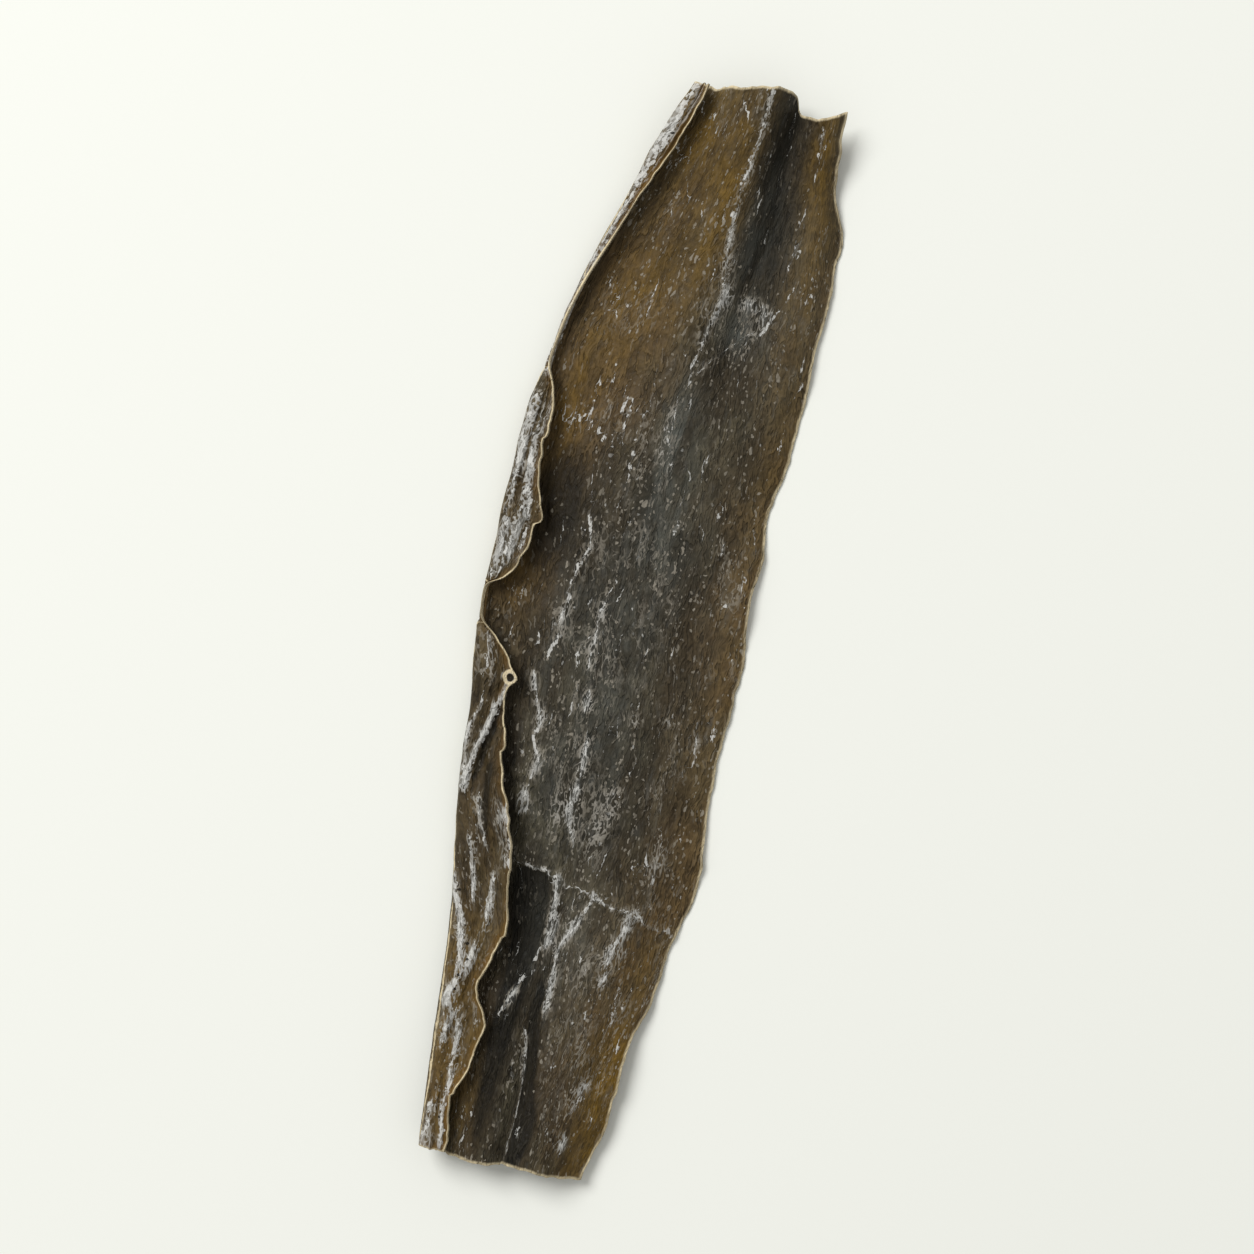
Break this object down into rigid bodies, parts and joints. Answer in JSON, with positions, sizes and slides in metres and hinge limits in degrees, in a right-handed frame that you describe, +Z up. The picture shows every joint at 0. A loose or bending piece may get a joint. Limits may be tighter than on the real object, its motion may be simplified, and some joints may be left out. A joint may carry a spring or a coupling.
{
  "type": "dried kombu strip",
  "caption": "Long leathery strip of dried kelp, cut across at both ends, with lengthwise furrows, a white bloom and its left margin rolled over on top of it.",
  "frame": {"origin": "middle of the strip in plan, on the surface that it lies on", "axes": "+Y along the strip towards its narrow cut end, +Z up out of the shown face, +X towards the flat right margin, away from the rolled one"},
  "size_m": [0.0428, 0.1678, 0.0076],
  "materials": {
    "dried_blade": null
  },
  "bodies": {
    "root": {"kombu_strip": "dried_blade"}
  },
  "joints": []
}
